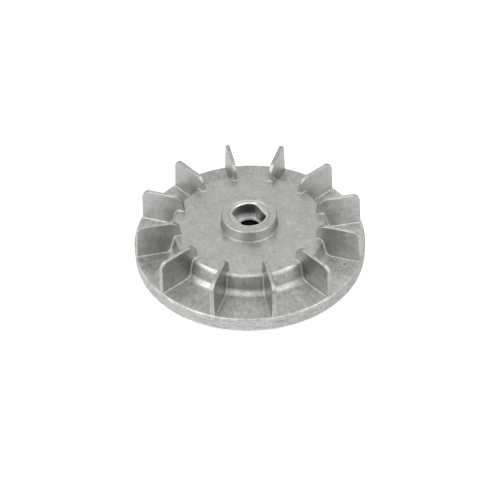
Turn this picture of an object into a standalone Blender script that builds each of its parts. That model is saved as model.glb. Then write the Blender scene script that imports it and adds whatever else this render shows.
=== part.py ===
"""Fan-bladed flywheel: a die-cast aluminium wheel with a steel drive bush.

Two physical pieces, built in metres with +Z up:

  wheel_casting   one die casting: rim, flange, raised web, collar and twelve
                  straight radial fan blades
  drive_bush      the bush fixed in the middle of the casting: a double-D
                  socket at the top, a round bore below it, and a tubular boss
                  that stands out of the rear pan

The origin is on the axis of the bore, at the end face of the rear boss, which
is the lowest face.  +Z runs along the bore towards the blades.  +X runs
parallel to the two drive flats.
"""
import math

import bmesh
import bpy

MM = 0.001

# ---- driving dimensions, millimetres --------------------------------------
WHEEL_D = 100.0          # outside diameter of the rim
RIM_T = 6.5              # height of the rim, flange top to rim land
BOSS_PROUD = 3.6         # how far the rear boss stands below the rim land
RIM_EDGE = 0.5           # edge break on both corners of the rim

WEB_RISE = 8.2           # raised web above the flange top
WEB_EDGE_R = 31.5        # where the flat top of the web ends
WEB_WALL_TOP_R = 33.2    # wall of the raised web near its top
WEB_WALL_FOOT_R = 34.4   # the same wall near its foot
WEB_FOOT_R = 36.4        # outer end of the foot fillet

COLLAR_R = 11.95         # collar round the drive socket
COLLAR_FOOT_R = 12.25
COLLAR_FILLET_R = 13.1
COLLAR_TOP = 13.5        # above the flange top

LAND_INNER_R = 46.2      # rim land on the underside
FLANGE_T = 3.2           # thickness of the flange inside the rim
PAN_MOUTH_R = 36.8       # rear pan: rounded shoulder
PAN_WALL_TOP_R = 33.9
PAN_WALL_FOOT_R = 32.3
PAN_FLOOR_R = 31.2
WEB_T = 3.4              # thickness of the web
PAD_R = 17.65            # low round pad on the pan floor
PAD_T = 0.5

BLADE_COUNT = 12
BLADE_PHASE = 11.0       # degrees, first blade from +X
BLADE_TOP = 15.2         # above the flange top
BLADE_HALF_TOP = 0.84    # half thickness at the top edge
BLADE_HALF_FOOT = 1.14   # half thickness at the flange
BLADE_FOOT_R = 49.45     # outer edge at the flange
BLADE_LEAN = 0.052       # outer edge leans inwards, mm per mm of height
BLADE_TIP_R = 3.4        # corner radius, outer end of the top edge
BLADE_NOSE_R = 4.2       # corner radius, inner end of the top edge
BLADE_NOSE_FOOT_R = 29.6 # inner end of the blade, on the web
BLADE_NOSE_LEAN = 0.10   # inner edge leans outwards, mm per mm of height
BLADE_ROOT = 1.0         # how far a blade is sunk into the flange

BUSH_R = 8.6             # bush where it sits in the casting
BOSS_R = 7.8             # rear boss
BORE_R = 5.05            # round shaft bore
DRIVE_R = 7.1            # double-D socket, round sides
DRIVE_AF = 11.5          # double-D socket, across the flats
DRIVE_DEPTH = 7.8        # socket depth below the collar top
DRIVE_CHAMFER = 0.55
BORE_CHAMFER = 0.4
BOSS_CHAMFER = 0.4
FIT_GAP = 0.3            # modelling gap between bush and casting

TURN_STEPS = 72          # facets of the turned casting
BUSH_STEPS = 64

# ---- derived heights, from the boss end face ------------------------------
Z_LAND = BOSS_PROUD
Z_FLANGE = BOSS_PROUD + RIM_T
Z_WEB = Z_FLANGE + WEB_RISE
Z_COLLAR = Z_FLANGE + COLLAR_TOP
Z_PAN = Z_WEB - WEB_T
Z_PAD = Z_PAN - PAD_T
Z_LEDGE = Z_COLLAR - DRIVE_DEPTH
R = WHEEL_D / 2.0


def clear_scene():
    for obj in list(bpy.data.objects):
        bpy.data.objects.remove(obj, do_unlink=True)


def material(name, colour, roughness, metallic):
    mat = bpy.data.materials.new(name)
    mat.use_nodes = True
    bsdf = mat.node_tree.nodes["Principled BSDF"]
    bsdf.inputs["Base Color"].default_value = (*colour, 1.0)
    bsdf.inputs["Roughness"].default_value = roughness
    bsdf.inputs["Metallic"].default_value = metallic
    return mat


def arc(cx, cz, radius, a0, a1, steps):
    """Points of a circular arc in the (r, z) plane, angles in degrees."""
    pts = []
    for i in range(steps + 1):
        a = math.radians(a0 + (a1 - a0) * i / steps)
        pts.append((cx + radius * math.cos(a), cz + radius * math.sin(a)))
    return pts


def new_object(name, bm, mat=None):
    mesh = bpy.data.meshes.new(name)
    bm.to_mesh(mesh)
    bm.free()
    obj = bpy.data.objects.new(name, mesh)
    bpy.context.scene.collection.objects.link(obj)
    if mat is not None:
        mesh.materials.append(mat)
    return obj


def smooth(obj, degrees=35.0):
    obj.data.shade_smooth()
    obj.data.set_sharp_from_angle(angle=math.radians(degrees))


def turned(profile, steps, phase):
    """Spin a closed (r, z) profile, in millimetres, once round the Z axis."""
    bm = bmesh.new()
    c, s = math.cos(math.radians(phase)), math.sin(math.radians(phase))
    verts = [bm.verts.new((r * c * MM, r * s * MM, z * MM))
             for r, z in profile]
    edges = [bm.edges.new((verts[i], verts[(i + 1) % len(verts)]))
             for i in range(len(verts))]
    bmesh.ops.spin(bm, geom=verts + edges, cent=(0, 0, 0), axis=(0, 0, 1),
                   angle=2.0 * math.pi, steps=steps, use_merge=True,
                   use_duplicate=False)
    bmesh.ops.recalc_face_normals(bm, faces=bm.faces[:])
    return bm


def casting_profile():
    """Turned section of the casting, from the hub hole outwards over the top
    and back along the underside."""
    hub = BUSH_R + FIT_GAP
    top = [
        (hub, Z_COLLAR),
        (COLLAR_R - 0.4, Z_COLLAR),
        (COLLAR_R, Z_COLLAR - 0.4),
        (COLLAR_FOOT_R, Z_WEB + 0.7),
        (COLLAR_FOOT_R + 0.25, Z_WEB + 0.25),
        (COLLAR_FILLET_R, Z_WEB),
        (WEB_EDGE_R, Z_WEB),
        (WEB_EDGE_R + 1.05, Z_WEB - 0.4),
        (WEB_WALL_TOP_R, Z_WEB - 1.6),
        (WEB_WALL_FOOT_R, Z_FLANGE + 2.2),
        (WEB_WALL_FOOT_R + 0.6, Z_FLANGE + 0.75),
        (WEB_FOOT_R, Z_FLANGE),
        (R - RIM_EDGE, Z_FLANGE),
        (R, Z_FLANGE - RIM_EDGE),
    ]
    z_under = Z_FLANGE - FLANGE_T
    under = [
        (R, Z_LAND + RIM_EDGE),
        (R - RIM_EDGE, Z_LAND),
        (LAND_INNER_R, Z_LAND),
        (LAND_INNER_R - 0.5, z_under - 1.0),
        (LAND_INNER_R - 1.4, z_under),
        (PAN_MOUTH_R, z_under + 0.1),
        (PAN_WALL_TOP_R + 1.2, z_under + 0.8),
        (PAN_WALL_TOP_R, z_under + 2.4),
        (PAN_WALL_FOOT_R, Z_PAN - 0.9),
        (PAN_WALL_FOOT_R - 0.4, Z_PAN - 0.25),
        (PAN_FLOOR_R, Z_PAN),
        (PAD_R + 0.5, Z_PAN),
        (PAD_R, Z_PAD),
        (hub, Z_PAD),
    ]
    return top + under


def blade_outline():
    """Outline of one blade in the (r, z) plane, anticlockwise."""
    def outer(z):
        return BLADE_FOOT_R - BLADE_LEAN * (z - Z_FLANGE)

    def inner(z):
        return BLADE_NOSE_FOOT_R + BLADE_NOSE_LEAN * (z - Z_WEB)

    top = Z_FLANGE + BLADE_TOP
    pts = [(WEB_WALL_FOOT_R + 0.3, Z_FLANGE - BLADE_ROOT),
           (outer(Z_FLANGE - BLADE_ROOT), Z_FLANGE - BLADE_ROOT)]
    tip_z = top - BLADE_TIP_R
    pts += arc(outer(tip_z) - BLADE_TIP_R, tip_z, BLADE_TIP_R, 0, 90, 5)
    nose_z = top - BLADE_NOSE_R
    pts += arc(inner(nose_z) + BLADE_NOSE_R, nose_z, BLADE_NOSE_R, 90, 180, 5)
    pts += [(inner(Z_WEB - 1.7), Z_WEB - 1.7),
            (WEB_WALL_FOOT_R - 1.8, Z_WEB - 1.7)]
    return pts


def blades():
    """Twelve closed blades in one mesh; their sides are flat and drafted."""
    outline = blade_outline()
    slope = (BLADE_HALF_FOOT - BLADE_HALF_TOP) / BLADE_TOP
    bm = bmesh.new()
    for k in range(BLADE_COUNT):
        ang = math.radians(BLADE_PHASE + 360.0 * k / BLADE_COUNT)
        radial = (math.cos(ang), math.sin(ang))
        across = (-math.sin(ang), math.cos(ang))
        sides = []
        for side in (1.0, -1.0):
            ring = []
            for r, z in outline:
                half = BLADE_HALF_FOOT - slope * (z - Z_FLANGE)
                ring.append(bm.verts.new((
                    (r * radial[0] + side * half * across[0]) * MM,
                    (r * radial[1] + side * half * across[1]) * MM,
                    z * MM)))
            sides.append(ring)
        bm.faces.new(sides[0])
        bm.faces.new(list(reversed(sides[1])))
        n = len(outline)
        for i in range(n):
            j = (i + 1) % n
            bm.faces.new((sides[0][j], sides[0][i], sides[1][i], sides[1][j]))
    bmesh.ops.recalc_face_normals(bm, faces=bm.faces[:])
    return bm


def double_d(radius, half_flat):
    """Outline of a double-D whose flats run along X, anticlockwise."""
    corner = math.degrees(math.asin(half_flat / radius))
    right = arc(0.0, 0.0, radius, -corner, corner, 14)
    left = arc(0.0, 0.0, radius, 180.0 - corner, 180.0 + corner, 14)
    return right + left


def socket_cutter():
    """Double-D socket with its lead-in chamfer, as one closed solid."""
    half = DRIVE_AF / 2.0
    levels = [
        (Z_LEDGE, DRIVE_R, half),
        (Z_COLLAR - DRIVE_CHAMFER, DRIVE_R, half),
        (Z_COLLAR + 0.5, DRIVE_R + DRIVE_CHAMFER + 0.5,
         half + DRIVE_CHAMFER + 0.5),
    ]
    bm = bmesh.new()
    rings = []
    for z, radius, flat in levels:
        rings.append([bm.verts.new((x * MM, y * MM, z * MM))
                      for x, y in double_d(radius, flat)])
    n = len(rings[0])
    for low, high in zip(rings, rings[1:]):
        for i in range(n):
            j = (i + 1) % n
            bm.faces.new((low[i], low[j], high[j], high[i]))
    bm.faces.new(list(reversed(rings[0])))
    bm.faces.new(rings[-1])
    bmesh.ops.recalc_face_normals(bm, faces=bm.faces[:])
    return bm


def bush_profile():
    """Turned section of the bush before its socket is cut."""
    return [
        (BORE_R, Z_COLLAR),
        (BUSH_R, Z_COLLAR),
        (BUSH_R, Z_PAD),
        (BOSS_R, Z_PAD),
        (BOSS_R, BOSS_CHAMFER),
        (BOSS_R - BOSS_CHAMFER, 0.0),
        (BORE_R + BORE_CHAMFER, 0.0),
        (BORE_R, BORE_CHAMFER),
    ]


def boolean(target, tool, operation):
    tool.hide_render = True
    tool.display_type = "WIRE"
    mod = target.modifiers.new(operation.lower(), "BOOLEAN")
    mod.operation = operation
    mod.solver = "EXACT"
    mod.object = tool


def main():
    clear_scene()
    cast = material("cast_aluminium", (0.62, 0.62, 0.60), 0.42, 1.0)
    steel = material("bush_steel", (0.56, 0.56, 0.55), 0.32, 1.0)

    half_step = 180.0 / TURN_STEPS
    wheel = new_object(
        "wheel_casting",
        turned(casting_profile(), TURN_STEPS, BLADE_PHASE + half_step), cast)
    fan = new_object("fan_blades_tool", blades(), cast)
    boolean(wheel, fan, "UNION")
    smooth(wheel)

    bush = new_object("drive_bush", turned(bush_profile(), BUSH_STEPS, 0.0),
                      steel)
    socket = new_object("drive_socket_tool", socket_cutter())
    boolean(bush, socket, "DIFFERENCE")
    smooth(bush)


main()
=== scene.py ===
"""Looks for the fan-bladed flywheel.

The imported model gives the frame.  Both CAD nodes are replaced by fine meshes
of the same shape and size:

  casting   one continuous die-cast skin.  It is the zero surface of a distance
            field: a turned section with real fillets, joined to twelve drafted
            blades by a rolling-ball fillet.
  bush      a turned steel bush with a double-D socket, built ring by ring.

All lengths below are millimetres in the frame of the model, and are turned
into metres when a mesh is made.
"""

import math

import bpy
import numpy as np
from mathutils import Matrix, Vector, noise

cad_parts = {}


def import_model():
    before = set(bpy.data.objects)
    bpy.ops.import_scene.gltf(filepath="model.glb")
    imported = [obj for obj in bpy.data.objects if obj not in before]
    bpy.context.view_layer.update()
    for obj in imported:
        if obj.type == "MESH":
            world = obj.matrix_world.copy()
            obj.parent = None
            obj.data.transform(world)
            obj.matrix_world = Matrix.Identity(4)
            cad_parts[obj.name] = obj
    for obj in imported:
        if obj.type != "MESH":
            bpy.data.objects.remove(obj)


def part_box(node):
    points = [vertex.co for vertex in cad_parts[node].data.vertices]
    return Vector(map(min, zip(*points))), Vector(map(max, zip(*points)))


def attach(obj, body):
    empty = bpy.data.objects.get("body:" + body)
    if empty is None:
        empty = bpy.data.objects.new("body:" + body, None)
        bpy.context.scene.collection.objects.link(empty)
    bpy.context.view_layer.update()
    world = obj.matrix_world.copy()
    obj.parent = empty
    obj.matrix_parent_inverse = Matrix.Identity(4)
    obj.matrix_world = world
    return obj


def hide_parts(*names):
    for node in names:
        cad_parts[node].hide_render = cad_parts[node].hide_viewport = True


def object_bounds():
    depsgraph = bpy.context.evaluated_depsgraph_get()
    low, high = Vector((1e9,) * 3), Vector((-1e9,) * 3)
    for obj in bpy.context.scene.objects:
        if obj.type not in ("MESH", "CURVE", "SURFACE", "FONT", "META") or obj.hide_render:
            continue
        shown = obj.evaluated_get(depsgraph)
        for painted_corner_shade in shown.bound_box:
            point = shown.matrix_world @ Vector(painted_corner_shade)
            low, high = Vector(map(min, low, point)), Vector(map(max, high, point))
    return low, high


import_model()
cad_lo, cad_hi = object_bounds()

MM = 0.001

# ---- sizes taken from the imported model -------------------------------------
w_lo, w_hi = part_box("wheel_casting")
b_lo, b_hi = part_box("drive_bush")
R = (w_hi[0] - w_lo[0]) / 2 / MM          # rim radius
Z_LAND = w_lo[2] / MM                     # rim land, underside
Z_TIP = w_hi[2] / MM                      # top edge of the blades
Z_COLLAR = b_hi[2] / MM                   # collar and bush end face
Z_BOSS = b_lo[2] / MM                     # rear boss end face

Z_FLANGE = Z_TIP - 15.2
Z_WEB = Z_FLANGE + 8.2
Z_UNDER = Z_FLANGE - 3.2
Z_PAN = Z_WEB - 3.4
Z_PAD = Z_PAN - 0.5
Z_LEDGE = Z_COLLAR - 7.8

BLADES = 12
PHASE = math.radians(11.0)
HALF_TOP = 0.84
HALF_FOOT = 1.14
DRAFT = (HALF_FOOT - HALF_TOP) / 15.2
BLADE_EDGE = 0.28                         # rounding of the blade's edges
BLADE_ROOT = 0.38                         # fillet between blade and body

SEAT_R = 8.735                            # hole in the casting
BUSH_R = 8.705
BOSS_R = 7.8
BORE_R = 5.05
DRIVE_R = 7.1
DRIVE_HALF = 11.5 / 2


# ---- outlines and distances ------------------------------------------------
def rounded(corners, step=math.radians(10)):
    """Closed outline through (u, v, radius) corners, each one an arc."""
    out = []
    n = len(corners)
    for i, (u, v, rad) in enumerate(corners):
        p = np.array((u, v))
        a = np.array(corners[i - 1][:2]) - p
        b = np.array(corners[(i + 1) % n][:2]) - p
        la, lb = np.linalg.norm(a), np.linalg.norm(b)
        a, b = a / la, b / lb
        half = math.acos(max(-1.0, min(1.0, float(a @ b)))) / 2
        if rad <= 0 or half > math.pi / 2 - 1e-3:
            out.append(p)
            continue
        t = min(rad / math.tan(half), 0.49 * la, 0.49 * lb)
        rad = t * math.tan(half)
        mid = (a + b) / np.linalg.norm(a + b)
        centre = p + mid * rad / math.sin(half)
        s, e = p + a * t - centre, p + b * t - centre
        a0 = math.atan2(s[1], s[0])
        turn = (math.atan2(e[1], e[0]) - a0 + math.pi) % (2 * math.pi) - math.pi
        k = max(2, math.ceil(abs(turn) / step))
        for j in range(k + 1):
            w = a0 + turn * j / k
            out.append(centre + rad * np.array((math.cos(w), math.sin(w))))
    return np.array(out)


def outline_distance(u, v, loop):
    """Signed distance to a closed outline, negative inside."""
    shape = u.shape
    u, v = u.ravel(), v.ravel()
    best = np.full(u.shape, 1e9)
    inside = np.zeros(u.shape, bool)
    for (x0, y0), (x1, y1) in zip(loop, np.roll(loop, -1, 0)):
        dx, dy = x1 - x0, y1 - y0
        length = dx * dx + dy * dy
        if length < 1e-12:
            continue
        t = np.clip(((u - x0) * dx + (v - y0) * dy) / length, 0, 1)
        best = np.minimum(best, (u - x0 - t * dx) ** 2 + (v - y0 - t * dy) ** 2)
        if y0 != y1:
            cross = (v < y0) != (v < y1)
            inside ^= cross & (u < x0 + (v - y0) * dx / dy)
    d = np.sqrt(best)
    return np.where(inside, -d, d).reshape(shape)


BODY = rounded([
    (SEAT_R, Z_COLLAR, 0.20),
    (11.95, Z_COLLAR, 0.50),
    (12.24, Z_WEB, 0.32),
    (32.80, Z_WEB, 1.75),
    (34.70, Z_FLANGE, 2.60),
    (R, Z_FLANGE, 0.60),
    (R, Z_LAND, 0.42),
    (46.20, Z_LAND, 0.40),
    (45.62, Z_UNDER, 0.95),
    (34.90, Z_UNDER + 0.1, 4.20),
    (32.00, Z_PAN, 0.45),
    (18.05, Z_PAN, 0.40),
    (17.75, Z_PAD, 0.28),
    (BOSS_R + 0.03, Z_PAD, 0.10),
    (BOSS_R + 0.03, Z_PAD + 0.8, 0.0),
    (SEAT_R, Z_PAD + 0.8, 0.0),
])

BLADE = rounded([
    (49.45 - 0.052 * -0.8, Z_FLANGE - 0.8, 0.0),
    (49.45 - 0.052 * 15.2, Z_TIP, 3.4),
    (29.60 + 0.100 * 7.0, Z_TIP, 4.4),
    (29.60 - 0.100 * 1.4, Z_WEB - 1.4, 0.0),
    (32.20, Z_WEB - 1.4, 0.0),
    (33.10, 14.0 - 10.1 + Z_FLANGE, 0.0),
    (34.30, 0.2 + Z_FLANGE, 0.0),
    (35.00, -0.8 + Z_FLANGE, 0.0),
])


def round_union(a, b, radius):
    u = np.maximum(radius - a, 0.0)
    v = np.maximum(radius - b, 0.0)
    return np.maximum(radius, np.minimum(a, b)) - np.hypot(u, v)


def blade_distance(x, y, z):
    a = outline_distance(x, z, BLADE) + BLADE_EDGE
    b = np.abs(y) - (HALF_FOOT - DRAFT * (z - Z_FLANGE)) + BLADE_EDGE
    return (np.minimum(np.maximum(a, b), 0)
            + np.hypot(np.maximum(a, 0), np.maximum(b, 0)) - BLADE_EDGE)


def wheel_distance(p):
    """Distance to the casting at points of one sector, blade along +X."""
    x, y, z = p[:, 0], p[:, 1], p[:, 2]
    body = outline_distance(np.hypot(x, y), z, BODY)
    near = (x > 27.0) & (np.abs(y) < 3.4)
    out = body
    if near.any():
        out = body.copy()
        out[near] = round_union(body[near],
                                blade_distance(x[near], y[near], z[near]),
                                BLADE_ROOT)
    return out


def gradient(p, h=0.004):
    g = np.empty_like(p)
    for a in range(3):
        d = np.zeros(3)
        d[a] = h
        g[:, a] = (wheel_distance(p + d) - wheel_distance(p - d)) / (2 * h)
    return g


# ---- grid for the casting --------------------------------------------------
def stations(knots):
    """Grid lines from (start, end, spacing) runs laid end to end."""
    out = [knots[0][0]]
    for a, b, s in knots:
        n = max(1, round((b - a) / s))
        out += [a + (b - a) * (i + 1) / n for i in range(n)]
    return np.array(out)


def casting_grid():
    r = stations([
        (8.2, 9.2, 0.25), (9.2, 11.2, 1.0), (11.2, 12.0, 0.2),
        (12.0, 12.4, 0.2), (12.4, 13.2, 0.27), (13.2, 17.4, 1.4),
        (17.4, 18.4, 0.2), (18.4, 28.9, 1.5), (28.9, 29.2, 0.3),
        (29.2, 31.0, 0.45), (31.0, 33.6, 0.43), (33.6, 37.0, 0.49),
        (37.0, 44.0, 1.40), (44.0, 46.5, 0.36), (46.5, 48.7, 0.73),
        (48.7, 50.5, 0.225),
    ])
    f, w = Z_FLANGE, Z_WEB
    z = stations([
        (Z_LAND - 0.35, Z_LAND + 0.5, 0.17), (Z_LAND + 0.5, Z_UNDER - 1.1, 0.6),
        (Z_UNDER - 1.1, Z_UNDER + 0.3, 0.28), (Z_UNDER + 0.3, f - 0.5, 0.48),
        (f - 0.5, f + 0.3, 0.16), (f + 0.3, f + 1.6, 0.32),
        (f + 1.6, Z_PAD - 0.2, 0.75),
        (Z_PAD - 0.2, Z_PAN + 0.25, 0.19), (Z_PAN + 0.25, w - 1.3, 0.6),
        (w - 1.3, w + 0.3, 0.26), (w + 0.3, w + 1.1, 0.26),
        (w + 1.1, Z_COLLAR - 0.7, 0.85), (Z_COLLAR - 0.7, Z_COLLAR + 0.2, 0.18),
        (Z_COLLAR + 0.2, Z_TIP - 0.6, 0.35), (Z_TIP - 0.6, Z_TIP + 0.3, 0.18),
    ])
    across = [0.22, 0.46, 0.70, 1.00, 1.27, 1.50, 1.80, 2.25, 2.90]
    far = 3
    return r, z, np.array(across), far


def build_casting():
    r, z, across, far = casting_grid()
    half = math.pi / BLADES
    lanes = []                            # angle of each grid line at each r
    edge = across[-1]
    for rr in r:
        scale = 1.0 / max(rr, 29.0)
        near = np.arcsin(across * scale)
        rest = near[-1] + (half - near[-1]) * (np.arange(far) + 1) / far
        lanes.append(np.concatenate([-rest[::-1], -near[::-1], near, rest]))
    lanes = np.array(lanes)               # (len r, lines), first and last are
    nj = lanes.shape[1] - 1               # the sector's two sides
    ni, nk = len(r), len(z)
    gx = (r[:, None] * np.cos(lanes))[:, :, None] + np.zeros(nk)
    gy = (r[:, None] * np.sin(lanes))[:, :, None] + np.zeros(nk)
    gz = np.zeros((ni, nj + 1, 1)) + z
    pts = np.stack([gx, gy, gz], -1).reshape(-1, 3)
    f = wheel_distance(pts).reshape(ni, nj + 1, nk)
    f[np.abs(f) < 1e-6] = 1e-6
    pos = pts.reshape(ni, nj + 1, nk, 3)
    solid = f < 0

    # one vertex in each cell that the surface crosses
    total = np.zeros((ni - 1, nj, nk - 1, 3))
    count = np.zeros((ni - 1, nj, nk - 1))
    for axis in range(3):
        sa = [slice(None)] * 3
        sb = [slice(None)] * 3
        sa[axis], sb[axis] = slice(None, -1), slice(1, None)
        sa, sb = tuple(sa), tuple(sb)
        cross = solid[sa] != solid[sb]
        t = np.where(cross, f[sa] / np.where(cross, f[sa] - f[sb], 1), 0)
        at = pos[sa] + (pos[sb] - pos[sa]) * t[..., None]
        at = at * cross[..., None]
        others = [a for a in range(3) if a != axis]
        for da in (0, 1):
            for db in (0, 1):
                sl = [slice(None)] * 3
                n_a = (ni, nj + 1, nk)[others[0]]
                n_b = (ni, nj + 1, nk)[others[1]]
                sl[others[0]] = slice(da, n_a - 1 + da)
                sl[others[1]] = slice(db, n_b - 1 + db)
                sl = tuple(sl)
                total += at[sl]
                count += cross[sl]
    used = count > 0
    verts = total[used] / count[used][:, None]
    for _ in range(7):
        g = gradient(verts)
        size = np.maximum((g * g).sum(1), 0.2)
        step = wheel_distance(verts)[:, None] * g / size[:, None]
        verts -= np.clip(step, -0.3, 0.3)

    per = len(verts)
    index = np.full(used.shape, -1, np.int64)
    index[used] = np.arange(per)

    # the whole ring: the same cells in each of the twelve sectors
    ring = np.concatenate(
        [np.where(index >= 0, index + s * per, -1) for s in range(BLADES)], 1)
    inside = np.concatenate([solid[:, :nj]] * BLADES, 1)
    nj_all = nj * BLADES
    quads = []

    def cell(i, j, k):
        return ring[i, j % nj_all, k]

    # edges along r
    i, j, k = np.nonzero(inside[:-1] != inside[1:])
    ok = (k > 0) & (k < nk - 1)
    i, j, k = i[ok], j[ok], k[ok]
    q = np.stack([cell(i, j - 1, k - 1), cell(i, j, k - 1),
                  cell(i, j, k), cell(i, j - 1, k)], 1)
    quads.append(np.where(inside[i, j, k][:, None], q, q[:, ::-1]))
    # edges round the axis
    nxt = np.roll(inside, -1, 1)
    i, j, k = np.nonzero(inside != nxt)
    ok = (k > 0) & (k < nk - 1) & (i > 0) & (i < ni - 1)
    i, j, k = i[ok], j[ok], k[ok]
    q = np.stack([cell(i - 1, j, k - 1), cell(i - 1, j, k),
                  cell(i, j, k), cell(i, j, k - 1)], 1)
    quads.append(np.where(inside[i, j, k][:, None], q, q[:, ::-1]))
    # edges along z
    i, j, k = np.nonzero(inside[:, :, :-1] != inside[:, :, 1:])
    ok = (i > 0) & (i < ni - 1)
    i, j, k = i[ok], j[ok], k[ok]
    q = np.stack([cell(i - 1, j - 1, k), cell(i, j - 1, k),
                  cell(i, j, k), cell(i - 1, j, k)], 1)
    quads.append(np.where(inside[i, j, k][:, None], q, q[:, ::-1]))
    quads = np.concatenate(quads)
    assert (quads >= 0).all()

    g = gradient(verts)
    g /= np.linalg.norm(g, axis=1)[:, None]
    # bend of the surface: positive over an outside edge, negative in a fillet
    h = 0.35
    t1 = np.cross(g, np.where(np.abs(g[:, 2:3]) < 0.9, [[0, 0, 1.0]],
                              [[1.0, 0, 0]]))
    t1 /= np.linalg.norm(t1, axis=1)[:, None]
    t2 = np.cross(g, t1)
    bend = sum(wheel_distance(verts + s * h * t)
               for t in (t1, t2) for s in (1, -1)) / (h * h)

    # how much a point belongs to a blade and not to the body
    body = outline_distance(np.hypot(verts[:, 0], verts[:, 1]), verts[:, 2],
                            BODY)
    vane = np.clip((body - 0.25) / 0.5, 0, 1)

    all_v, all_n = [], []
    for s in range(BLADES):
        a = PHASE + 2 * math.pi * s / BLADES
        m = np.array([[math.cos(a), -math.sin(a), 0],
                      [math.sin(a), math.cos(a), 0], [0, 0, 1]])
        all_v.append(verts @ m.T)
        all_n.append(g @ m.T)
    return (np.concatenate(all_v), np.concatenate(all_n), quads,
            np.tile(bend, BLADES), np.tile(vane, BLADES))


# ---- meshes ----------------------------------------------------------------
def make_mesh(name, verts, faces, normals=None, floats=None):
    mesh = bpy.data.meshes.new(name)
    verts = np.asarray(verts, float) * MM
    faces = np.asarray(faces)
    mesh.vertices.add(len(verts))
    mesh.vertices.foreach_set("co", verts.astype(np.float32).ravel())
    mesh.loops.add(faces.size)
    mesh.loops.foreach_set("vertex_index", faces.ravel().astype(np.int32))
    mesh.polygons.add(len(faces))
    mesh.polygons.foreach_set(
        "loop_start", np.arange(0, faces.size, 4, dtype=np.int32))
    mesh.update(calc_edges=True)
    mesh.validate()
    for key, values in (floats or {}).items():
        attr = mesh.attributes.new(key, "FLOAT", "POINT")
        attr.data.foreach_set("value", np.asarray(values, np.float32))
    mesh.shade_smooth()
    if normals is not None:
        mesh.normals_split_custom_set_from_vertices(
            [tuple(v) for v in normals])
    obj = bpy.data.objects.new(name, mesh)
    bpy.context.scene.collection.objects.link(obj)
    return obj


def uneven(verts, normals):
    """The slight unevenness of a cast surface, in millimetres."""
    out = np.empty(len(verts))
    for i, v in enumerate(verts):
        a = Vector((v[0] * 0.11, v[1] * 0.11, v[2] * 0.11 + 3.0))
        out[i] = noise.noise(a) + 0.45 * noise.noise(a * 2.7)
    return verts + normals * (out * 0.028)[:, None]


def double_d(theta, grow):
    """Radius of the double-D at each angle, its corners slightly rounded."""
    a = np.full(theta.shape, DRIVE_R + grow)
    b = (DRIVE_HALF + grow) / np.maximum(np.abs(np.sin(theta)), 1e-6)
    k = 0.10
    h = np.clip(0.5 + 0.5 * (b - a) / k, 0, 1)
    return b + (a - b) * h - k * h * (1 - h)


def build_bush():
    n = 288
    theta = np.arange(n) * 2 * math.pi / n
    circle = lambda rad: np.full(n, rad)

    rings = []                            # (radius at each angle, z)

    def curve(fn, start, end, steps, first=True):
        for i in range(0 if first else 1, steps + 1):
            t = i / steps
            rings.append(fn(t))

    top = Z_COLLAR
    # outer wall, bottom to top, with a small edge break
    for zz in np.linspace(Z_PAD + 0.85, top - 0.08, 9):
        rings.append((circle(BUSH_R), zz))
    for i in range(1, 5):
        w = math.radians(90 * i / 4)
        rings.append((circle(BUSH_R - 0.08 + 0.08 * math.cos(w)),
                      top - 0.08 + 0.08 * math.sin(w)))
    # end face, from the round edge to the lead-in of the socket
    lead = double_d(theta, 0.52)
    outer = circle(BUSH_R - 0.08)
    for t in (0.12, 0.4, 0.7, 0.9, 1.0):
        rings.append((outer * (1 - t) + lead * t, top))
    # lead-in chamfer, rounded over at both edges
    for grow, down in ((0.485, 0.010), (0.455, 0.035), (0.31, 0.18),
                       (0.15, 0.34), (0.045, 0.45), (0.012, 0.51), (0.0, 0.58)):
        rings.append((double_d(theta, grow), top - down))
    # socket wall and its small root fillet
    wall_top, wall_low = top - 0.58, Z_LEDGE + 0.22
    for i in range(1, 11):
        rings.append((double_d(theta, 0.0),
                      wall_top + (wall_low - wall_top) * i / 10))
    for i in range(1, 4):
        w = math.radians(90 * i / 3)
        rings.append((double_d(theta, -0.22 * (1 - math.cos(w))),
                      Z_LEDGE + 0.22 * (1 - math.sin(w))))
    # ledge, in to the bore
    inner = double_d(theta, -0.22)
    rim = circle(BORE_R + 0.22)
    for t in (0.25, 0.5, 0.75, 0.93, 1.0):
        rings.append((inner * (1 - t) + rim * t, Z_LEDGE))
    for i in range(1, 4):
        w = math.radians(90 * i / 3)
        rings.append((circle(BORE_R + 0.22 * (1 - math.sin(w))),
                      Z_LEDGE - 0.22 * (1 - math.cos(w))))
    # bore
    for zz in np.linspace(Z_LEDGE - 0.22, Z_BOSS + 0.45, 14)[1:]:
        rings.append((circle(BORE_R), zz))
    for grow, up in ((0.03, 0.41), (0.38, 0.04), (0.44, 0.0)):
        rings.append((circle(BORE_R + grow), Z_BOSS + up))
    # faced end of the boss
    for rad in (5.9, 6.5, 7.1, 7.38):
        rings.append((circle(rad), Z_BOSS))
    for rad, up in ((7.44, 0.03), (7.74, 0.33), (7.79, 0.39), (BOSS_R, 0.47)):
        rings.append((circle(rad), Z_BOSS + up))
    # boss wall, up into the casting, and the hidden shoulder
    for zz in np.linspace(Z_BOSS + 0.47, Z_PAD + 0.83, 16)[1:]:
        rings.append((circle(BOSS_R), zz))
    rings.append((circle(BOSS_R + 0.02), Z_PAD + 0.85))

    verts, m, lead_in = [], len(rings), []
    for rad, zz in rings:
        verts.append(np.stack([rad * np.cos(theta), rad * np.sin(theta),
                               np.full(n, zz)], 1))
        near_mouth = zz > top - 0.53 and rad.max() < DRIVE_R + 0.54
        lead_in.append(np.full(n, 1.0 if near_mouth else 0.0))
    verts = np.concatenate(verts)
    faces = []
    for a in range(m):
        b = (a + 1) % m
        i = np.arange(n)
        j = (i + 1) % n
        faces.append(np.stack([a * n + i, a * n + j, b * n + j, b * n + i], 1))
    return verts, np.concatenate(faces), np.concatenate(lead_in)


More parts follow.
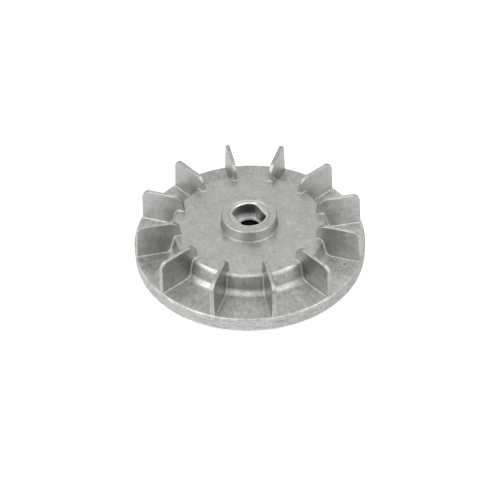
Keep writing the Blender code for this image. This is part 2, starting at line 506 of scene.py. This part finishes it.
# ---- materials -------------------------------------------------------------
class Graph:
    """Short way to write shader nodes."""

    def __init__(self, name):
        self.mat = bpy.data.materials.new(name)
        self.mat.use_nodes = True
        self.tree = self.mat.node_tree
        self.tree.nodes.clear()

    def node(self, kind, **props):
        n = self.tree.nodes.new(kind)
        for key, value in props.items():
            setattr(n, key, value)
        return n

    def link(self, a, b):
        self.tree.links.new(a, b)

    def put(self, socket, value):
        if isinstance(value, bpy.types.NodeSocket):
            self.link(value, socket)
        else:
            socket.default_value = value

    def math(self, op, a, b=0.0, clamp=False):
        n = self.node("ShaderNodeMath", operation=op, use_clamp=clamp)
        self.put(n.inputs[0], a)
        self.put(n.inputs[1], b)
        return n.outputs[0]

    def remap(self, value, a, b, c=0.0, d=1.0, smooth=True):
        n = self.node("ShaderNodeMapRange", clamp=True)
        n.interpolation_type = "SMOOTHSTEP" if smooth else "LINEAR"
        self.put(n.inputs["Value"], value)
        for key, x in zip(("From Min", "From Max", "To Min", "To Max"),
                          (a, b, c, d)):
            self.put(n.inputs[key], x)
        return n.outputs["Result"]

    def noise(self, vector, scale, detail=3.0, rough=0.55, distort=0.0):
        n = self.node("ShaderNodeTexNoise")
        self.put(n.inputs["Vector"], vector)
        n.inputs["Scale"].default_value = scale
        n.inputs["Detail"].default_value = detail
        n.inputs["Roughness"].default_value = rough
        n.inputs["Distortion"].default_value = distort
        return n.outputs["Fac"]

    def mix(self, fac, a, b, kind="MIX"):
        n = self.node("ShaderNodeMix", data_type="RGBA", blend_type=kind)
        self.put(n.inputs["Factor"], fac)
        self.put(n.inputs["A"], a)
        self.put(n.inputs["B"], b)
        return n.outputs["Result"]

    def scaled(self, vector, scale):
        n = self.node("ShaderNodeMapping")
        self.put(n.inputs["Vector"], vector)
        n.inputs["Scale"].default_value = scale
        return n.outputs["Vector"]


def cast_aluminium():
    g = Graph("die_cast_aluminium")
    out = g.node("ShaderNodeOutputMaterial")
    bsdf = g.node("ShaderNodeBsdfPrincipled")
    g.link(bsdf.outputs[0], out.inputs[0])
    bsdf.inputs["Metallic"].default_value = 1.0
    where = g.node("ShaderNodeTexCoord").outputs["Object"]
    bend = g.node("ShaderNodeAttribute", attribute_name="bend").outputs["Fac"]
    geo = g.node("ShaderNodeNewGeometry").outputs["Normal"]
    sep = g.node("ShaderNodeSeparateXYZ")
    g.link(geo, sep.inputs[0])
    upness = g.math("ABSOLUTE", sep.outputs["Z"])
    wallness = g.remap(upness, 0.75, 0.3)

    cloud = g.noise(where, 150.0, 3.0, 0.6, 0.3)       # about 6 mm
    mottle = g.noise(where, 620.0, 3.0, 0.62)          # about 1.6 mm
    fleck = g.noise(where, 1500.0, 2.0, 0.6)           # about 0.7 mm
    grain = g.noise(where, 3200.0, 2.0, 0.6)           # about 0.3 mm
    streak = g.noise(g.scaled(where, (1.0, 1.0, 0.06)), 1500.0, 3.0, 0.6)

    edge = g.remap(bend, 0.35, 1.7)
    crease = g.remap(bend, -0.3, -1.3)

    # the rim and the flange are rougher cast than the raised centre
    flat = g.node("ShaderNodeVectorMath", operation="MULTIPLY")
    g.link(where, flat.inputs[0])
    flat.inputs[1].default_value = (1.0, 1.0, 0.0)
    radius = g.node("ShaderNodeVectorMath", operation="LENGTH")
    g.link(flat.outputs[0], radius.inputs[0])
    outer = g.remap(radius.outputs["Value"], 0.032, 0.036)
    rim = g.math("MULTIPLY", g.remap(radius.outputs["Value"], 0.0490, 0.0495),
                 wallness)
    below = g.remap(sep.outputs["Z"], -0.3, -0.7)
    outer = g.math("MULTIPLY", outer, g.math(
        "SUBTRACT", 1.0, g.math("MULTIPLY", below, 0.85)))
    vane = g.node("ShaderNodeAttribute", attribute_name="vane").outputs["Fac"]
    coarse = g.math("ADD", 1.25, g.math("MULTIPLY", outer, 0.85))
    coarse = g.math("ADD", coarse, g.math("MULTIPLY", rim, 0.7))

    # drawn-out marks: outwards on the flat faces, round the rim on its wall
    ray = g.node("ShaderNodeVectorMath", operation="NORMALIZE")
    g.link(flat.outputs[0], ray.inputs[0])
    ray_xyz = g.node("ShaderNodeSeparateXYZ")
    g.link(ray.outputs[0], ray_xyz.inputs[0])
    pale_way = g.node("ShaderNodeVectorMath", operation="DOT_PRODUCT")
    g.link(ray.outputs[0], pale_way.inputs[0])
    pale_way.inputs[1].default_value = (math.cos(math.radians(60.0)),
                                        math.sin(math.radians(60.0)), 0.0)
    way = pale_way.outputs["Value"]
    spot = g.node("ShaderNodeSeparateXYZ")
    g.link(where, spot.inputs[0])

    def drawn(around, along, scale):
        v = g.node("ShaderNodeCombineXYZ")
        g.link(g.math("MULTIPLY", ray_xyz.outputs["X"], around), v.inputs["X"])
        g.link(g.math("MULTIPLY", ray_xyz.outputs["Y"], around), v.inputs["Y"])
        g.link(along, v.inputs["Z"])
        return g.noise(v.outputs[0], scale, 3.0, 0.6, 0.4)

    rays = drawn(0.040, g.math("MULTIPLY", radius.outputs["Value"], 0.28),
                 900.0)
    rounds = drawn(0.016, spot.outputs["Z"], 1100.0)
    scuffs = drawn(0.006, spot.outputs["Z"], 2100.0)

    tone = g.math("ADD", g.remap(cloud, 0.3, 0.7, -0.6, 0.6, False),
                  g.remap(mottle, 0.3, 0.7, -0.8, 0.8, False))
    tone = g.math("ADD", tone, g.remap(fleck, 0.3, 0.7, -0.35, 0.35, False))
    tone = g.math("ADD", tone, g.math(
        "MULTIPLY", g.remap(rays, 0.3, 0.7, -0.5, 0.5, False),
        g.math("MULTIPLY", g.remap(upness, 0.6, 0.9),
               g.remap(outer, 0.0, 1.0, 0.25, 1.0))))
    tone = g.math("MULTIPLY", tone, coarse)
    tone = g.math("ADD", tone, g.math(
        "MULTIPLY", g.math("ADD", g.remap(rounds, 0.3, 0.7, -1.9, 1.9, False),
                       g.remap(scuffs, 0.3, 0.7, -2.2, 2.2, False)), rim))
    base = g.mix(g.remap(tone, -2.8, 2.8, smooth=False),
                 (0.365, 0.364, 0.346, 1.0), (0.690, 0.688, 0.660, 1.0))
    # flow marks: fine light lines and pale smears left by the melt
    flow = g.noise(g.scaled(where, (1.0, 1.0, 0.4)), 210.0, 3.0, 0.55, 1.3)
    line = g.remap(g.math("ABSOLUTE", g.math("SUBTRACT", flow, 0.5)),
                   0.016, 0.003)
    smear = g.math("MULTIPLY", g.remap(g.noise(where, 300.0, 4.0, 0.65, 0.6),
                                       0.58, 0.70), 0.42)
    pale = g.math("MAXIMUM", g.math("MULTIPLY", line, 0.22), smear)
    spark = g.math("MULTIPLY", g.remap(fleck, 0.63, 0.75),
                   g.math("MULTIPLY", coarse, 0.26))
    base = g.mix(g.math("MAXIMUM", spark, pale, clamp=True), base,
                 (0.80, 0.797, 0.765, 1.0))
    smut = g.math("MULTIPLY", g.remap(g.noise(where, 700.0, 4.0, 0.72),
                                      0.39, 0.27),
                  g.math("MULTIPLY", coarse, 0.42), clamp=True)
    smut = g.math("MAXIMUM", smut, g.math(
        "MULTIPLY", rim, g.remap(scuffs, 0.45, 0.33, 0.0, 0.40)))
    base = g.mix(smut, base, (0.24, 0.24, 0.23, 1.0))
    base = g.mix(g.math("MULTIPLY", rim, g.remap(scuffs, 0.55, 0.66, 0.0,
                                                 0.45)),
                 base, (0.80, 0.797, 0.765, 1.0))
    # streaky stain on the walls, plus painted shade: walls, blade faces and the rim wall
    # are darkened because they face sideways, the walls less so towards one side
    stain_and_painted_shade = g.math("MULTIPLY", g.math("SUBTRACT", wallness, rim), g.math(
        "MULTIPLY", g.remap(streak, 0.38, 0.66),
        g.remap(vane, 0.0, 1.0, 0.60, 0.22)))
    stain_and_painted_shade = g.math("MULTIPLY", stain_and_painted_shade, g.remap(way, 0.10, 0.45, 1.0, 0.3))
    stain_and_painted_shade = g.math("ADD", stain_and_painted_shade, g.math(
        "MULTIPLY", g.math("MULTIPLY", vane, wallness), 0.28))
    stain_and_painted_shade = g.math("ADD", stain_and_painted_shade, g.math("MULTIPLY", rim, 0.40))
    stained_and_shaded = g.mix(stain_and_painted_shade, base, (0.36, 0.36, 0.347, 1.0))
    # painted light: the outer half is made paler along one diameter, and its walls darker
    # than its flat faces
    painted_light_gain = g.math("ADD", g.math("MULTIPLY", way, 0.09), g.math(
        "MULTIPLY", g.math("MULTIPLY", way, way), 0.165))
    painted_light_gain = g.math("ADD", painted_light_gain, g.remap(wallness, 0.0, 1.0, 0.97, 0.90))
    painted_light_gain = g.math("ADD", 1.0, g.math("MULTIPLY", outer, g.math(
        "MULTIPLY", g.math("SUBTRACT", 1.0, rim),
        g.math("SUBTRACT", painted_light_gain, 1.0))))
    painted_light_scale = g.node("ShaderNodeVectorMath", operation="SCALE")
    g.link(stained_and_shaded, painted_light_scale.inputs[0])
    g.link(painted_light_gain, painted_light_scale.inputs["Scale"])
    stained_and_shaded = painted_light_scale.outputs[0]
    # painted shade: the blades are darkened down in their inner corners
    painted_corner_shade = g.math("MULTIPLY", g.math("MULTIPLY", vane, wallness), g.math(
        "MULTIPLY", g.remap(radius.outputs["Value"], 0.0420, 0.0350),
        g.remap(spot.outputs["Z"], (Z_WEB + 2.0) * MM, (Z_WEB - 2.5) * MM)))
    stained_and_shaded = g.mix(g.math("MULTIPLY", painted_corner_shade, 0.50), stained_and_shaded,
                 (0.20, 0.20, 0.193, 1.0))
    # and painted shade: a dark line along the blade foot, just above the fillet, and in
    # the fillet where it turns up into the wall
    beyond = g.remap(radius.outputs["Value"], 0.0350, 0.0366)
    painted_foot_shade = g.math("MULTIPLY", g.math("MULTIPLY", vane, wallness), g.math(
        "MULTIPLY", beyond, g.remap(spot.outputs["Z"], (Z_FLANGE + 1.5) * MM,
                                    (Z_FLANGE + 0.4) * MM)))
    painted_foot_shade = g.math("MAXIMUM", g.math("MULTIPLY", painted_foot_shade, 0.42), g.math(
        "MULTIPLY", g.math("MULTIPLY", beyond, g.remap(bend, -0.8, -1.6)),
        g.remap(upness, 0.60, 0.30, 0.0, 0.60)))
    stained_and_shaded = g.mix(painted_foot_shade, stained_and_shaded, (0.17, 0.17, 0.164, 1.0))
    # painted shade: the fillet ring at the collar's foot is darkened on one side
    ring = g.math("MULTIPLY", g.remap(bend, -0.8, -1.8), g.math(
        "MULTIPLY", g.remap(radius.outputs["Value"], 0.0145, 0.0135),
        g.remap(way, 0.4, -0.5, 0.0, 0.50)))
    stained_and_shaded = g.mix(ring, stained_and_shaded, (0.24, 0.24, 0.23, 1.0))
    # a rubbed dark patch on the rim
    graze = g.node("ShaderNodeVectorMath", operation="DISTANCE")
    g.link(g.scaled(where, (1.0, 1.0, 2.4)), graze.inputs[0])
    graze.inputs[1].default_value = (0.0479, -0.0144,
                                     (Z_FLANGE - 2.5) * MM * 2.4)
    stained_and_shaded = g.mix(g.math("MULTIPLY", g.remap(graze.outputs["Value"],
                                            0.0026, 0.0010), g.math(
        "MULTIPLY", rim, g.remap(mottle, 0.35, 0.60, 0.15, 0.60))), stained_and_shaded,
        (0.20, 0.20, 0.193, 1.0))
    # rounded edges are worn bright, and painted highlights lie along edges and fillets,
    # stronger on one side; tight edges get less
    wear_and_painted_highlight = g.math("MULTIPLY", g.remap(bend, 0.20, 0.50),
                    g.remap(bend, 0.70, 1.3, 0.36, 0.0))
    wear_and_painted_highlight = g.math("MULTIPLY", wear_and_painted_highlight, g.remap(way, -0.2, 0.5, 1.0, 0.35))
    wear_and_painted_highlight = g.math("MULTIPLY", wear_and_painted_highlight, g.remap(way, -0.8, -0.2, 0.55, 1.0))
    wear_and_painted_highlight = g.math("ADD", wear_and_painted_highlight, g.math("MULTIPLY", g.math(
        "MULTIPLY", g.remap(bend, -0.12, -0.32),
        g.remap(bend, -0.70, -1.0, 0.50, 0.0)),
        g.remap(way, -0.7, 0.5, 1.8, 0.50, False)))
    wear_and_painted_highlight = g.math("MULTIPLY", wear_and_painted_highlight,
                    g.remap(mottle, 0.36, 0.60, 0.55, 1.15))
    # painted highlight: bright lines in the tight fillets, mostly at the blade roots and
    # where the blades meet the raised centre, weaker on one side of the flange
    root = g.math("MULTIPLY", g.remap(bend, -1.0, -2.0),
                  g.remap(radius.outputs["Value"], 0.013, 0.020, 0.05, 0.22))
    root = g.math("MULTIPLY", root, g.math("SUBTRACT", 1.0, g.math(
        "MULTIPLY", g.remap(way, 0.3, 0.9, 0.0, 0.75), beyond)))
    root = g.math("ADD", root, g.math(
        "MULTIPLY", g.math("MULTIPLY", g.remap(bend, -1.0, -2.0), wallness),
        g.math("MULTIPLY", g.remap(radius.outputs["Value"], 0.029, 0.032),
               g.math("SUBTRACT", 0.30, g.math("MULTIPLY", beyond, 0.30)))))
    wear_and_painted_highlight = g.math("ADD", wear_and_painted_highlight, root)
    # the rim's top edge and lip are worn bright, which also paints their highlight line;
    # the edge round the bush seat gets a painted highlight
    edge_wear_and_highlight = g.math("MULTIPLY", g.remap(radius.outputs["Value"],
                                      0.0491, 0.0495), edge)
    edge_wear_and_highlight = g.math("MULTIPLY", edge_wear_and_highlight, g.remap(cloud, 0.42, 0.58, 0.0, 0.80))
    lip = g.math("MULTIPLY", g.remap(radius.outputs["Value"],
                                     0.0484, 0.0494), g.remap(upness, 0.6, 0.9))
    edge_wear_and_highlight = g.math("MAXIMUM", edge_wear_and_highlight, g.math("MULTIPLY", lip, g.remap(
        rounds, 0.40, 0.58, 0.0, 0.42)))
    seat = g.math("MULTIPLY", g.remap(radius.outputs["Value"],
                                      0.0094, 0.0090), edge)
    edge_wear_and_highlight = g.math("MAXIMUM", edge_wear_and_highlight, seat)
    wear_and_painted_highlight = g.math("MAXIMUM", wear_and_painted_highlight, edge_wear_and_highlight, clamp=True)
    bright = g.mix(wear_and_painted_highlight, stained_and_shaded, (0.76, 0.757, 0.725, 1.0))
    # the skin is a cooler grey on the rim and the blades, warmer elsewhere
    cool = g.math("ADD", g.math("MULTIPLY", rim, 0.6),
                  g.math("MULTIPLY", vane, 0.5))
    cool = g.math("ADD", cool, g.remap(g.noise(where, 48.0, 2.0, 0.5),
                                       0.48, 0.66, 0.0, 0.5), clamp=True)
    bright = g.mix(cool, bright, (0.965, 0.974, 1.0, 1.0), "MULTIPLY")
    pore = g.node("ShaderNodeTexVoronoi", feature="F1")
    g.link(where, pore.inputs["Vector"])
    pore.inputs["Scale"].default_value = 330.0
    dot = g.remap(pore.outputs["Distance"], 0.075, 0.03)
    chance = g.node("ShaderNodeSeparateColor")
    g.link(pore.outputs["Color"], chance.inputs[0])
    pit = g.math("MULTIPLY", dot, g.remap(chance.outputs[0], 0.945, 0.955))
    hole = g.node("ShaderNodeVectorMath", operation="DISTANCE")
    g.link(where, hole.inputs[0])
    hole.inputs[1].default_value = (0.03579, 0.02523, Z_FLANGE * MM)
    pit = g.math("MAXIMUM", pit, g.remap(hole.outputs["Value"],
                                         0.00062, 0.00030))
    final = g.mix(g.math("MULTIPLY", pit, 0.85), bright,
                  (0.12, 0.12, 0.11, 1.0))
    g.link(final, bsdf.inputs["Base Color"])

    rough = g.math("ADD", 0.345, g.math("MULTIPLY", tone, 0.022))
    rough = g.math("ADD", rough, g.math("MULTIPLY", grain, 0.06))
    rough = g.math("ADD", rough, g.math("MULTIPLY", outer, 0.05))
    rough = g.math("SUBTRACT", rough, g.math("MULTIPLY", edge, 0.04))
    rough = g.math("SUBTRACT", rough, g.math("MULTIPLY", crease, 0.04))
    g.link(rough, bsdf.inputs["Roughness"])

    height = g.math("MULTIPLY", grain, 0.010)
    height = g.math("ADD", height, g.math(
        "MULTIPLY", g.math("MULTIPLY", mottle, coarse), 0.034))
    height = g.math("ADD", height, g.math(
        "MULTIPLY", g.math("MULTIPLY", rays, coarse), 0.014))
    height = g.math("ADD", height, g.math("MULTIPLY", g.math(
        "MULTIPLY", streak, g.math("SUBTRACT", wallness, rim)), 0.012))
    height = g.math("ADD", height, g.math(
        "MULTIPLY", g.math("MULTIPLY", g.math("ADD", rounds, scuffs), rim),
        0.040))
    height = g.math("SUBTRACT", height, g.math("MULTIPLY", pit, 0.10))
    bump = g.node("ShaderNodeBump")
    bump.inputs["Strength"].default_value = 0.8
    bump.inputs["Distance"].default_value = 0.001
    g.link(height, bump.inputs["Height"])
    g.link(bump.outputs[0], bsdf.inputs["Normal"])
    return g.mat


def bush_steel():
    g = Graph("turned_steel")
    out = g.node("ShaderNodeOutputMaterial")
    bsdf = g.node("ShaderNodeBsdfPrincipled")
    g.link(bsdf.outputs[0], out.inputs[0])
    bsdf.inputs["Metallic"].default_value = 1.0
    where = g.node("ShaderNodeTexCoord").outputs["Object"]
    sep = g.node("ShaderNodeSeparateXYZ")
    g.link(where, sep.inputs[0])
    flat = g.node("ShaderNodeCombineXYZ")
    g.link(sep.outputs["X"], flat.inputs["X"])
    g.link(sep.outputs["Y"], flat.inputs["Y"])
    radius = g.node("ShaderNodeVectorMath", operation="LENGTH")
    g.link(flat.outputs[0], radius.inputs[0])
    ring = g.node("ShaderNodeCombineXYZ")
    g.link(radius.outputs["Value"], ring.inputs["X"])
    g.link(sep.outputs["Z"], ring.inputs["Z"])
    lathe = g.noise(ring.outputs[0], 7000.0, 2.0, 0.6)
    mottle = g.noise(where, 700.0, 3.0, 0.6)
    tone = g.math("ADD", g.math("MULTIPLY", lathe, 0.5),
                  g.math("MULTIPLY", mottle, 0.5))
    base = g.mix(g.remap(tone, 0.35, 0.65), (0.50, 0.50, 0.485, 1.0),
                 (0.64, 0.64, 0.63, 1.0))
    # painted shade: the socket walls are darkened the deeper they go
    within = g.remap(radius.outputs["Value"], 0.0076, 0.0072)
    depth = g.remap(sep.outputs["Z"], (Z_COLLAR - 0.4) * MM,
                    (Z_COLLAR - 2.4) * MM)
    painted_socket_shade = g.math("MULTIPLY", g.math("MULTIPLY", within, depth), 0.22)
    ledge = g.node("ShaderNodeNewGeometry").outputs["Normal"]
    up = g.node("ShaderNodeSeparateXYZ")
    g.link(ledge, up.inputs[0])
    painted_socket_shade = g.math("MULTIPLY", painted_socket_shade,
                   g.remap(up.outputs["Z"], 0.5, 0.9, 1.0, 0.0))
    # painted shade: the bore is made near black, except close to the boss end
    inner = g.math("MULTIPLY", g.remap(radius.outputs["Value"],
                                       0.00535, 0.00515),
                   g.remap(sep.outputs["Z"], 0.0004, 0.0010, 0.0, 0.92))
    base = g.mix(painted_socket_shade, base, (0.13, 0.13, 0.125, 1.0))
    # painted light: up-facing faces inside the socket, the ledge above all, are made pale
    step = g.math("MULTIPLY", g.math("MULTIPLY", within, depth),
                  g.remap(up.outputs["Z"], 0.5, 0.9, 0.0, 0.75))
    base = g.mix(step, base, (0.93, 0.93, 0.92, 1.0))
    base = g.mix(inner, base, (0.06, 0.06, 0.057, 1.0))
    wall = g.math("MULTIPLY", g.remap(radius.outputs["Value"],
                                      0.00765, 0.00778),
                  g.remap(sep.outputs["Z"], (Z_PAD + 1.0) * MM,
                          (Z_PAD + 0.9) * MM))
    streak = g.noise(g.scaled(where, (1.0, 1.0, 0.08)), 1300.0, 3.0, 0.6)
    base = g.mix(g.math("MULTIPLY", wall, g.remap(streak, 0.3, 0.65,
                                                  0.35, 0.85)),
                 base, (0.24, 0.24, 0.23, 1.0))
    # the lead-in chamfer is a paler cut face, partly a painted highlight
    cut_face_and_highlight = g.node("ShaderNodeAttribute",
                 attribute_name="lead_in").outputs["Fac"]
    base = g.mix(g.math("MULTIPLY", cut_face_and_highlight, 0.85), base,
                 (0.90, 0.90, 0.885, 1.0))
    g.link(base, bsdf.inputs["Base Color"])
    rough = g.math("ADD", 0.30, g.math("MULTIPLY", mottle, 0.12))
    g.link(rough, bsdf.inputs["Roughness"])
    height = g.math("ADD", g.math("MULTIPLY", lathe, 0.006),
                    g.math("MULTIPLY", mottle, 0.008))
    bump = g.node("ShaderNodeBump")
    bump.inputs["Strength"].default_value = 0.7
    bump.inputs["Distance"].default_value = 0.001
    g.link(height, bump.inputs["Height"])
    g.link(bump.outputs[0], bsdf.inputs["Normal"])
    return g.mat


def floor_white(near, side):
    """White table.  Seen in the metal it falls off towards the near side,
    where a real table ends, and a little towards the right."""
    g = Graph("studio_floor")
    out = g.node("ShaderNodeOutputMaterial")
    bsdf = g.node("ShaderNodeBsdfPrincipled")
    bsdf.inputs["Base Color"].default_value = (0.93, 0.93, 0.93, 1.0)
    bsdf.inputs["Roughness"].default_value = 0.9
    bsdf.inputs["Specular IOR Level"].default_value = 0.1
    bsdf.inputs["Emission Color"].default_value = (1.0, 1.0, 1.0, 1.0)
    dark = g.node("ShaderNodeEmission")
    dark.inputs["Color"].default_value = (0.10, 0.10, 0.10, 1.0)
    where = g.node("ShaderNodeTexCoord").outputs["Object"]
    dot = g.node("ShaderNodeVectorMath", operation="DOT_PRODUCT")
    g.link(where, dot.inputs[0])
    dot.inputs[1].default_value = near
    away = g.node("ShaderNodeVectorMath", operation="LENGTH")
    g.link(where, away.inputs[0])
    wedge = g.remap(g.math("DIVIDE", dot.outputs["Value"],
                           g.math("MAXIMUM", away.outputs["Value"], 0.01)),
                    0.80, 0.93)
    past = g.remap(dot.outputs["Value"], 0.070, 0.125)
    across = g.node("ShaderNodeVectorMath", operation="DOT_PRODUCT")
    g.link(where, across.inputs[0])
    across.inputs[1].default_value = side
    fade = g.remap(across.outputs["Value"], 0.0, 0.06, 0.0, 0.20)
    glossy = g.node("ShaderNodeLightPath").outputs["Is Glossy Ray"]
    mix = g.node("ShaderNodeMixShader")
    g.link(g.math("MULTIPLY", glossy, g.math(
        "MAXIMUM", fade, g.math("MULTIPLY", wedge, past))), mix.inputs[0])
    g.link(bsdf.outputs[0], mix.inputs[1])
    g.link(dark.outputs[0], mix.inputs[2])
    g.link(mix.outputs[0], out.inputs[0])
    seen = g.node("ShaderNodeLightPath").outputs["Is Camera Ray"]
    g.link(g.math("ADD", FLOOR_GLOW, g.math("MULTIPLY", seen, 0.32)),
           bsdf.inputs["Emission Strength"])
    return g.mat


# ---- pieces ----------------------------------------------------------------
verts, normals, quads, bend, vane = build_casting()
verts = uneven(verts, normals)
casting = make_mesh("casting_skin", verts, quads, normals,
                    {"bend": bend, "vane": vane})
casting.data.materials.append(cast_aluminium())
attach(casting, "root")
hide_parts("wheel_casting")

verts, quads, lead_in = build_bush()
bush = make_mesh("bush_turned", verts, quads, None, {"lead_in": lead_in})
bush.data.set_sharp_from_angle(angle=math.radians(50))
bush.data.materials.append(bush_steel())
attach(bush, "root")
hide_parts("drive_bush")


# ---- stage, light, camera --------------------------------------------------
def stage(near, side):
    mesh = bpy.data.meshes.new("floor")
    s = 1.5
    mesh.from_pydata([(-s, -s, 0), (s, -s, 0), (s, s, 0), (-s, s, 0)], [],
                     [(0, 1, 2, 3)])
    floor = bpy.data.objects.new("floor", mesh)
    bpy.context.scene.collection.objects.link(floor)
    floor.location.z = cad_lo[2]
    mesh.materials.append(floor_white(near, side))


def softbox(name, where, target, size, watts, tint=(1.0, 1.0, 1.0)):
    light = bpy.data.lights.new(name, "AREA")
    light.shape = "RECTANGLE"
    light.size, light.size_y = size
    light.energy = watts
    light.color = tint
    obj = bpy.data.objects.new(name, light)
    bpy.context.scene.collection.objects.link(obj)
    obj.location = where
    obj.rotation_euler = (Vector(target) - Vector(where)).to_track_quat(
        "-Z", "Y").to_euler()
    return obj


def world(far, side):
    """Soft surround.  Its brightness is given all the way round, from the far
    side and then clockwise, in a low and a middle band, and at the zenith."""
    w = bpy.data.worlds.new("studio")
    bpy.context.scene.world = w
    w.use_nodes = True
    tree = w.node_tree
    back = tree.nodes["Background"]
    coord = tree.nodes.new("ShaderNodeTexCoord")

    def dot(v):
        n = tree.nodes.new("ShaderNodeVectorMath")
        n.operation = "DOT_PRODUCT"
        tree.links.new(coord.outputs["Generated"], n.inputs[0])
        n.inputs[1].default_value = v
        return n.outputs["Value"]

    def calc(op, a, b=0.0):
        n = tree.nodes.new("ShaderNodeMath")
        n.operation = op
        for socket, value in zip(n.inputs, (a, b)):
            if isinstance(value, (int, float)):
                socket.default_value = value
            else:
                tree.links.new(value, socket)
        return n.outputs[0]

    def ramp(x, a, b):
        n = tree.nodes.new("ShaderNodeMapRange")
        tree.links.new(x, n.inputs["Value"])
        n.inputs["From Min"].default_value = math.radians(a)
        n.inputs["From Max"].default_value = math.radians(b)
        return n.outputs["Result"]

    turn = calc("ARCTAN2", dot(side), dot(far))
    rise = calc("ARCSINE", dot((0, 0, 1)))
    bands = (
        (calc("SUBTRACT", 1.0, ramp(rise, 20, 50)), WORLD_LOW),
        (calc("MINIMUM", ramp(rise, 20, 50),
              calc("SUBTRACT", 1.0, ramp(rise, 60, 85))), WORLD_MID),
    )
    total = calc("MULTIPLY", ramp(rise, 60, 85), WORLD_TOP)
    step = math.pi / 4
    for band, levels in bands:
        ring = None
        for i, level in enumerate(levels):
            away = calc("ABSOLUTE", calc("SUBTRACT", turn, i * step
                                         if i <= 4 else (i - 8) * step))
            away = calc("MINIMUM", away,
                        calc("SUBTRACT", 2 * math.pi, away))
            hat = calc("MAXIMUM", calc("SUBTRACT", 1.0,
                                       calc("DIVIDE", away, step)), 0.0)
            part = calc("MULTIPLY", hat, level)
            ring = part if ring is None else calc("ADD", ring, part)
        total = calc("ADD", total, calc("MULTIPLY", ring, band))
    tree.links.new(total, back.inputs[1])
    back.inputs[0].default_value = (1.0, 1.0, 1.0, 1.0)


def camera():
    dist, el, roll = 0.567676, math.radians(42.044), math.radians(1.453)
    focal, px, py = 1311.041, 249.715, 237.289
    turn = math.radians(-59.98)
    c, s = math.cos(el), math.sin(el)
    right, up, fwd = Vector((1, 0, 0)), Vector((0, s, c)), Vector((0, c, -s))
    cr, sr = math.cos(roll), math.sin(roll)
    x, y, b = right * cr - up * sr, right * sr + up * cr, -fwd
    m = Matrix(((x.x, y.x, b.x), (x.y, y.y, b.y), (x.z, y.z, b.z)))
    t = Matrix.Rotation(-turn, 3, "Z")
    at = t @ Vector((0, -c * dist, s * dist))
    m = t @ m
    cam = bpy.data.cameras.new("camera")
    obj = bpy.data.objects.new("camera", cam)
    bpy.context.scene.collection.objects.link(obj)
    obj.matrix_world = (Matrix.Translation(at + Vector((0, 0, 0.0101)))
                        @ m.to_4x4())
    cam.sensor_fit = "HORIZONTAL"
    cam.sensor_width = 36.0
    cam.lens = focal * 36.0 / 500.0
    cam.shift_x = -(px - 250.0) / 500.0
    cam.shift_y = (py - 250.0) / 500.0
    cam.clip_start, cam.clip_end = 0.01, 10.0
    bpy.context.scene.camera = obj
    return obj


# far, far right, right, near right, near, near left, left, far left
WORLD_LOW = (0.49, 0.21, 0.65, 1.80, 0.0, 2.3, 0.78, 0.30)
WORLD_MID = (1.13, 0.45, 0.88, 1.18, 0.92, 1.36, 0.76, 0.61)
WORLD_TOP = 0.74
FLOOR_GLOW = 0.26

cam = camera()
view = bpy.context.scene.view_settings
view.view_transform = "Standard"
view.look = "None"

# directions seen from the camera: far is away from it, side is to its right
axis = cam.matrix_world.to_3x3()
side = axis @ Vector((1, 0, 0))
side.z = 0
side.normalize()
far = Vector((0, 0, 1)).cross(side)
stage(-far, side)
world(far, side)


def high_box(name, turn, rise, radiance, size=0.42, dist=0.9):
    """Square softbox at an angle round from the far side and a height."""
    a, e = math.radians(turn), math.radians(rise)
    d = ((far * math.cos(a) + side * math.sin(a)) * math.cos(e)
         + Vector((0, 0, math.sin(e))))
    softbox(name, d * dist, (0, 0, 0), (size, size),
            radiance * math.pi * size * size)


high_box("left_box", 265, 60, 2.2)
high_box("right_box", 95, 60, 1.6)
